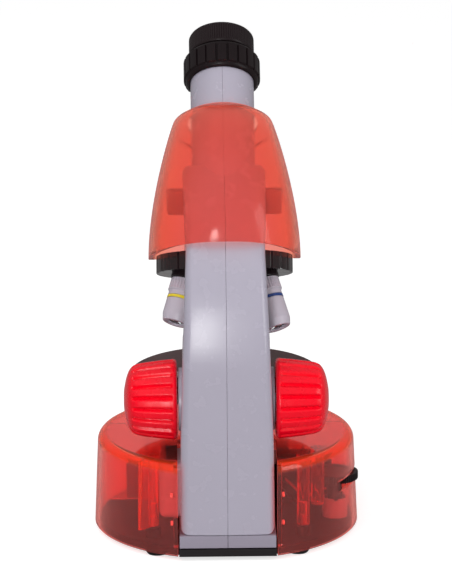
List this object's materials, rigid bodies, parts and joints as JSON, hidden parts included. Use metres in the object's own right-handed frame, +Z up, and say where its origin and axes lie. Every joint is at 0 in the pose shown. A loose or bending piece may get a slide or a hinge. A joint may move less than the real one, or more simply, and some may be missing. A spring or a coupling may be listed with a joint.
{
  "type": "kids microscope",
  "caption": "Small biological microscope for children: translucent drum base with a lamp, grey arm, inclined zoom eyepiece, turret of objectives and a focusing stage.",
  "frame": {"origin": "centre of the base plate underside; the feet reach 2 mm below it", "axes": "+Z up; -Y towards the user, where the eyepiece leans; +X to the right of the user, and the dimmer wheel sits on the -X side"},
  "size_m": [0.126, 0.135, 0.2338],
  "materials": {
    "red_clear": "translucent, glossy",
    "red_plastic": "satin",
    "grey_plastic": "satin",
    "plinth_grey": "matte",
    "black_plastic": "satin",
    "dark_stage": "matte",
    "rubber": "matte",
    "steel": "satin",
    "glass": "clear",
    "mirror": "polished",
    "board": "satin",
    "lamp": "glossy",
    "cell": "glossy",
    "band_yellow": "glossy",
    "band_blue": "glossy",
    "band_red": "glossy",
    "wire_red": "matte",
    "wire_black": "matte"
  },
  "bodies": {
    "base": {"base_shell": "red_clear", "head_hood": "red_clear", "dimmer_body": "grey_plastic", "body_left": "grey_plastic", "body_right": "grey_plastic", "plinth": "plinth_grey", "base_plate": "black_plastic", "battery_box": "black_plastic", "battery_cover": "black_plastic", "hood_bracket": "black_plastic", "foot_1": "rubber", "foot_2": "rubber", "foot_3": "rubber", "foot_4": "rubber", "base_screw_1": "steel", "base_screw_2": "steel", "base_screw_3": "steel", "base_screw_4": "steel", "arm_screw_left": "steel", "arm_screw_right": "steel", "body_screw_1": "steel", "body_screw_2": "steel", "cover_screw": "steel", "battery_contact_1": "steel", "battery_contact_2": "steel", "light_window": "glass", "deflection_mirror": "mirror", "lamp_board": "board", "lamp_led": "lamp", "battery_cell_1": "cell", "battery_cell_2": "cell", "wire_red": "wire_red", "wire_black": "wire_black"},
    "dimmer": {"dimmer_wheel": "black_plastic"},
    "focus_drive": {"focus_shaft": "steel", "focus_pinion": "black_plastic", "knob_left": "red_plastic", "knob_right": "red_plastic"},
    "stage": {"stage_plate": "dark_stage", "stage_carriage": "black_plastic"},
    "clip_left": {"stage_clip_left": "steel", "clip_screw_left": "steel"},
    "clip_right": {"stage_clip_right": "steel", "clip_screw_right": "steel"},
    "turret": {"turret_disc": "black_plastic", "turret_screw": "steel", "objective_low": "grey_plastic", "band_low": "band_red", "lens_low": "glass", "objective_medium": "grey_plastic", "band_medium": "band_yellow", "lens_medium": "glass", "objective_high": "grey_plastic", "band_high": "band_blue", "lens_high": "glass"},
    "zoom": {"zoom_ring": "black_plastic"},
    "eyepiece": {"eyepiece_barrel": "black_plastic", "eyepiece_cap": "black_plastic", "eye_lens": "glass", "field_lens": "glass"}
  },
  "joints": [
    {"name": "dimmer_turn", "type": "hinge", "parent": "base", "child": "dimmer", "pos_m": [-0.0516, 0.0108, 0.0245], "axis": [0, 0, 1], "range_deg": [0, 270]},
    {"name": "stage_lift", "type": "slide", "parent": "base", "child": "stage", "axis": [0, 0, 1], "range_m": [-0.004, 0.0138]},
    {"name": "focus_turn", "type": "hinge", "parent": "base", "child": "focus_drive", "pos_m": [0, 0.033, 0.069], "axis": [-1, 0, 0], "range_deg": [-39, 133]},
    {"name": "clip_left_turn", "type": "hinge", "parent": "stage", "child": "clip_left", "pos_m": [0.023, -0.001, 0.0695], "axis": [0, 0, 1], "range_deg": [-20, 25]},
    {"name": "clip_right_turn", "type": "hinge", "parent": "stage", "child": "clip_right", "pos_m": [-0.023, -0.001, 0.0695], "axis": [0, 0, -1], "range_deg": [-20, 25]},
    {"name": "turret_turn", "type": "hinge", "parent": "base", "child": "turret", "pos_m": [0, -0.0002, 0.1252], "axis": [0, 0.342, -0.9397], "continuous": true},
    {"name": "eyepiece_slide", "type": "slide", "parent": "base", "child": "eyepiece", "axis": [0, -0.7071, 0.7071], "range_m": [0, 0.0078]},
    {"name": "zoom_turn", "type": "hinge", "parent": "base", "child": "zoom", "pos_m": [0, -0.04693, 0.20263], "axis": [0, -0.7071, 0.7071], "range_deg": [-1, 151]}
  ],
  "couplings": [
    {"joint": "focus_turn", "follows": "stage_lift", "rad_per_m": 166.67},
    {"joint": "zoom_turn", "follows": "eyepiece_slide", "rad_per_m": 333}
  ]
}
